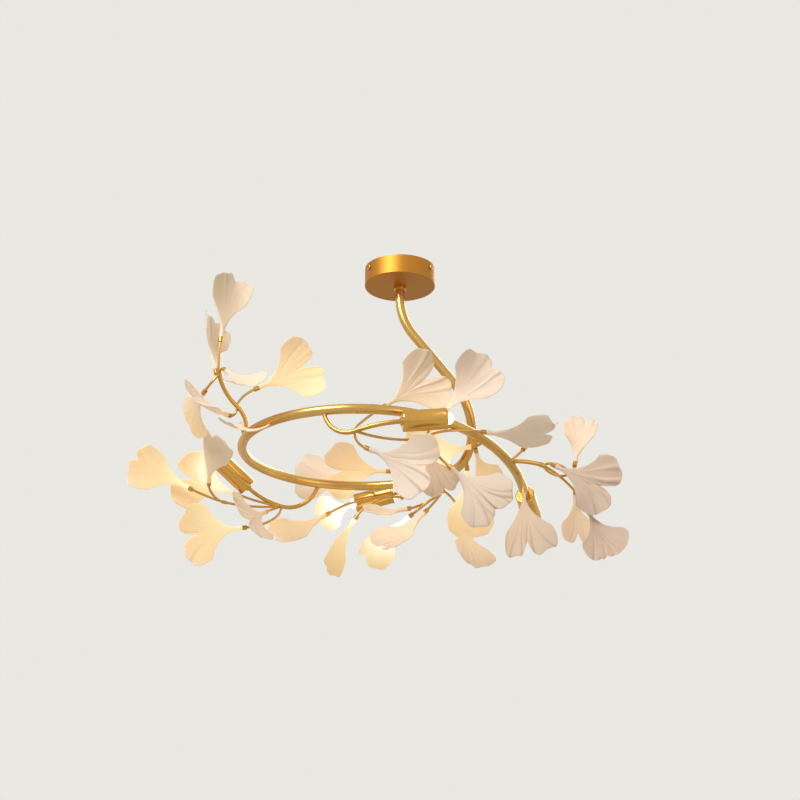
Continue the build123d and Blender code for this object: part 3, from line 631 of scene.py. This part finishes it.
for name, look in LEAVES.items():
    mesh = leaf_mesh(name, leaf_plane(name, look.facing), look)
    light_leaf(mesh, look.light)
    mesh.materials.append(leaf_porcelain)
    leaf = bpy.data.objects.new(f"{name}_porcelain", mesh)
    bpy.context.collection.objects.link(leaf)
    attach(leaf, name)
    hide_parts(name)


# Finishes of the pieces that keep their own solids

def finish_node(node, material):
    """One material on a solid of the frame."""
    slots = nodes[node].data.materials
    slots.clear()
    slots.append(material)


for node in ("spiral_tube", "stem_nipple", "nipple_nut"):
    finish_node(node, tube_brass)
for spray in ("upper_left", "lower_left", "front", "back", "centre", "tail"):
    finish_node(f"{spray}_frame", wire_brass)
finish_node("stem_collar", turned_brass)
finish_node("canopy", shaded_canopy_brass)
finish_node("ceiling_plate", zinc_steel)
finish_node("terminal_block", terminal_plastic)
finish_node("lampholders", holder_clay)
for node in ("supply_leads", "tube_wiring", "lamp_leads"):
    finish_node(node, wire_sleeve)


# Lamps: turned cups and capsule bulbs, in millimetres

SIDES = 48
CUP_SIDES = 64
PIN_SIDES = 16
SMOOTH_ANGLE = 40


def lathe(profile, sides=SIDES):
    """Points and faces of a closed profile of (radius, height) turned about Z; radius 0 makes a pole."""
    points, faces, rings = [], [], []
    for radius, height in profile:
        if radius == 0:
            rings.append([len(points)] * sides)
            points.append((0.0, 0.0, height))
            continue
        rings.append(list(range(len(points), len(points) + sides)))
        for side in range(sides):
            angle = 2 * math.pi * side / sides
            points.append((radius * math.cos(angle), radius * math.sin(angle), height))
    for low, high in zip(rings, rings[1:]):
        for side in range(sides):
            after = (side + 1) % sides
            corners = [low[side], low[after], high[after], high[side]]
            faces.append(list(dict.fromkeys(corners)))
    return points, faces


def rounded_block(width, depth, corner, levels, sides=SIDES):
    """Points and faces of a block with rounded corners; levels are (height, inset), closed at both ends."""
    points, faces = [], []
    for height, inset in levels:
        for side in range(sides):
            angle = 2 * math.pi * (side + 0.5) / sides
            radius = corner - inset
            across_x = math.copysign(width / 2 - corner, math.cos(angle)) + radius * math.cos(angle)
            across_y = math.copysign(depth / 2 - corner, math.sin(angle)) + radius * math.sin(angle)
            points.append((across_x, across_y, height))
    for level in range(len(levels) - 1):
        low, high = level * sides, (level + 1) * sides
        for side in range(sides):
            after = (side + 1) % sides
            faces.append((low + side, low + after, high + after, high + side))
    faces.append(tuple(range(sides - 1, -1, -1)))
    top = (len(levels) - 1) * sides
    faces.append(tuple(range(top, top + sides)))
    return points, faces


def shifted(shape, aside):
    """A shape moved along X."""
    points, faces = shape
    return [(x + aside, y, z) for x, y, z in points], faces


def piece(name, shapes, plane):
    """Object made of shapes in millimetres, each with its material, standing on a plane."""
    mesh = bpy.data.meshes.new(name)
    points, faces, wears, materials = [], [], [], []
    for (shape_points, shape_faces), material in shapes:
        if material not in materials:
            materials.append(material)
        first = len(points)
        points += [tuple(c * MM for c in point) for point in shape_points]
        faces += [tuple(first + i for i in face) for face in shape_faces]
        wears += [materials.index(material)] * len(shape_faces)
    mesh.from_pydata(points, [], faces)
    for material in materials:
        mesh.materials.append(material)
    mesh.polygons.foreach_set("material_index", wears)
    mesh.polygons.foreach_set("use_smooth", [True] * len(faces))
    mesh.update()
    mesh.set_sharp_from_angle(angle=math.radians(SMOOTH_ANGLE))
    made = bpy.data.objects.new(name, mesh)
    bpy.context.collection.objects.link(made)
    made.matrix_world = plane
    return made


def arc(middle, radius, start, end, steps=6):
    """Points of a bend in a profile, angles in degrees."""
    turns = [math.radians(start + (end - start) * step / steps) for step in range(steps + 1)]
    return [(middle[0] + radius * math.cos(turn), middle[1] + radius * math.sin(turn)) for turn in turns]


def seat_plane(seat, axis, across):
    """Place of a lamp or a screw: origin on its seat, Z along it, and X the way its pins or flats lie."""
    along = Vector(axis).normalized()
    side = Vector(across).normalized()
    plane = Matrix((side, along.cross(side), along)).transposed().to_4x4()
    plane.translation = Vector(seat) * MM
    return plane


CUP = [(3.1, 3.0), (3.1, -2.6), (4.9, -2.6), (5.4, -2.2), (5.4, -0.5), (5.9, 0.0), (11.8, 0.0)]
CUP += arc((11.85, 2.0), 2.0, -90, 0)
CUP += [(13.85, 7.0), (13.5, 7.4), (13.5, 8.2), (13.85, 8.6), (13.85, 54.6), (14.0, 54.9), (14.0, 57.6)]
CUP += [(13.8, 58.0), (12.7, 58.0), (12.5, 57.7), (12.5, 3.4), (12.2, 3.0), (3.1, 3.0)]
GLASS = [(0, 34.3), (6.6, 34.3), (7.2, 34.9), (7.5, 36.2)]
GLASS += arc((0, 58.8), 7.5, 0, 84, 9)
GLASS += [(0, 66.3)]
PIN = [(0, 14.3), (0.7, 14.4), (1.1, 15.0), (1.1, 23.6), (0, 23.6)]
PIN_PLACES = (-4.5, 4.5)
BASE_SIZE = (14.0, 9.0, 2.2)
BASE_LEVELS = [(23.3, 0.6), (23.6, 0.2), (24.0, 0.0), (33.4, 0.0), (34.0, 0.3), (34.3, 0.9)]

cups = []
for lamp, (seat, axis, pins) in LAMPS.items():
    plane = seat_plane(seat, axis, pins)
    cups.append(piece(f"{lamp}_cup_turned", [(lathe(CUP, CUP_SIDES), turned_brass)], plane))
    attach(cups[-1], "spiral")
    shapes = [(lathe(GLASS), frosted_glass), (rounded_block(*BASE_SIZE, BASE_LEVELS), bulb_base_clay)]
    shapes += [(shifted(lathe(PIN, PIN_SIDES), aside), zinc_steel) for aside in PIN_PLACES]
    bulb = piece(f"{lamp}_bulb_capsule", shapes, plane)
    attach(bulb, f"{lamp}_bulb")
    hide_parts(f"{lamp}_bulb")
for cup in cups:
    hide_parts("socket_cups")


# Canopy screws with a hexagon socket

SCREW = [(0, -9.0), (1.5, -9.0), (1.95, -8.4), (1.95, 0.0), (3.3, 0.0), (3.5, 0.3), (3.5, 1.3)]
SCREW += [(3.3, 1.9), (2.8, 2.25), (2.2, 2.4), (1.75, 2.4), (1.7, 0.9), (0, 0.9)]
SOCKET_WALL = (1.6, 1.8)
SOCKET_FLAT = 1.5
SECTOR = math.radians(60)
CANOPY_RADIUS = 50
SCREW_LEVEL = -9
SCREW_ANGLES = (-150, -30, 90)


def screw_shape():
    """Points and faces of a round-headed screw with a hexagon socket, head outwards along Z."""
    points, faces = lathe(SCREW)
    for index, (x, y, z) in enumerate(points):
        if z > 0 and SOCKET_WALL[0] < math.hypot(x, y) < SOCKET_WALL[1]:
            angle = math.atan2(y, x)
            flat = SOCKET_FLAT / math.cos((angle % SECTOR) - SECTOR / 2)
            points[index] = (flat * math.cos(angle), flat * math.sin(angle), z)
    return points, faces


screws = []
for number, turn in enumerate(SCREW_ANGLES, start=1):
    outward = Vector((math.cos(math.radians(turn)), math.sin(math.radians(turn)), 0))
    plane = seat_plane(outward * CANOPY_RADIUS + Vector((0, 0, SCREW_LEVEL)), outward, (0, 0, 1))
    screws.append(piece(f"canopy_screw_{number}", [(screw_shape(), turned_brass)], plane))
    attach(screws[-1], "ceiling_mount")
for screw in screws:
    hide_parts("canopy_screws")


# Room: floor, light and camera

def background_rays(tree):
    """Mask of the rays that show the background: seen straight, in metal or through glass."""
    rays = tree.nodes.new("ShaderNodeLightPath")
    seen = maths(tree, "MAXIMUM", rays.outputs["Is Camera Ray"], rays.outputs["Is Glossy Ray"])
    return maths(tree, "MAXIMUM", seen, rays.outputs["Is Transmission Ray"])


FLOOR_LEVEL = -1.3
FLOOR_HALF = 6
FADE_FROM, FADE_FULL = 1.4, 4.6
GLOW_NEAR, GLOW_FAR = 0.42, 1.0
PALE = rgb(233, 232, 226)

corner_signs = ((-1, -1), (1, -1), (1, 1), (-1, 1))
floor_corners = [(FLOOR_HALF * x, FLOOR_HALF * y, FLOOR_LEVEL) for x, y in corner_signs]
floor_mesh = bpy.data.meshes.new("floor")
floor_mesh.from_pydata(floor_corners, [], [(0, 1, 2, 3)])
floor = bpy.data.objects.new("floor", floor_mesh)
bpy.context.collection.objects.link(floor)
pale_floor, floor_tree, floor_shader, floor_where = new_material("pale_floor")
floor_shader.inputs["Base Color"].default_value = PALE
floor_shader.inputs["Roughness"].default_value = 0.9
floor_glow = put(floor_tree, "ShaderNodeEmission", Color=PALE, Strength=1.0)
floor_mix = put(floor_tree, "ShaderNodeMixShader")
reach_out = put(floor_tree, "ShaderNodeVectorMath", operation="LENGTH")
floor_tree.links.new(floor_where, reach_out.inputs[0])
fade = put(floor_tree, "ShaderNodeMapRange", interpolation_type="SMOOTHSTEP",
           From_Min=FADE_FROM, From_Max=FADE_FULL, To_Min=GLOW_NEAR, To_Max=GLOW_FAR)
floor_tree.links.new(reach_out.outputs["Value"], fade.inputs["Value"])
floor_share = maths(floor_tree, "MULTIPLY", background_rays(floor_tree), fade.outputs["Result"])
floor_tree.links.new(floor_share, floor_mix.inputs["Fac"])
floor_tree.links.new(floor_shader.outputs["BSDF"], floor_mix.inputs[1])
floor_tree.links.new(floor_glow.outputs["Emission"], floor_mix.inputs[2])
floor_tree.links.new(floor_mix.outputs["Shader"], floor_tree.nodes["Material Output"].inputs["Surface"])
floor_mesh.materials.append(pale_floor)

ROOM_LEVEL = 0.28
world = bpy.data.worlds.new("studio")
bpy.context.scene.world = world
world.use_nodes = True
sky = world.node_tree
back = sky.nodes["Background"]
back.inputs["Color"].default_value = PALE
extra = maths(sky, "MULTIPLY", background_rays(sky), 1 - ROOM_LEVEL)
sky.links.new(maths(sky, "ADD", extra, ROOM_LEVEL), back.inputs["Strength"])


MIDDLE = Vector((0, 0, -0.2006))


def soft_light(name, at, size, power, colour=(1, 1, 1)):
    """Square studio light turned to the middle of the object."""
    data = bpy.data.lights.new(name, "AREA")
    data.size = size
    data.energy = power
    data.color = colour
    light = bpy.data.objects.new(name, data)
    bpy.context.collection.objects.link(light)
    light.location = at
    light.rotation_euler = (MIDDLE - Vector(at)).to_track_quat("-Z", "Y").to_euler()


soft_light("key_light", at=(-1.1, -1.6, 1.0), size=1.0, power=40)
soft_light("fill_light", at=(1.6, -1.5, -0.4), size=1.5, power=8, colour=(1.0, 0.9, 0.8))
soft_light("rim_light", at=(0.6, 1.8, 0.8), size=1.2, power=14)

PITCH = math.radians(21)
DISTANCE = 2.3
forward = Vector((0, math.cos(PITCH), math.sin(PITCH)))
camera_data = bpy.data.cameras.new("camera")
camera_data.sensor_width = 36
camera_data.lens = 74.52
camera = bpy.data.objects.new("camera", camera_data)
bpy.context.collection.objects.link(camera)
camera.location = MIDDLE - forward * DISTANCE
camera.rotation_euler = forward.to_track_quat("-Z", "Y").to_euler()
bpy.context.scene.camera = camera
bpy.context.scene.view_settings.view_transform = "Standard"
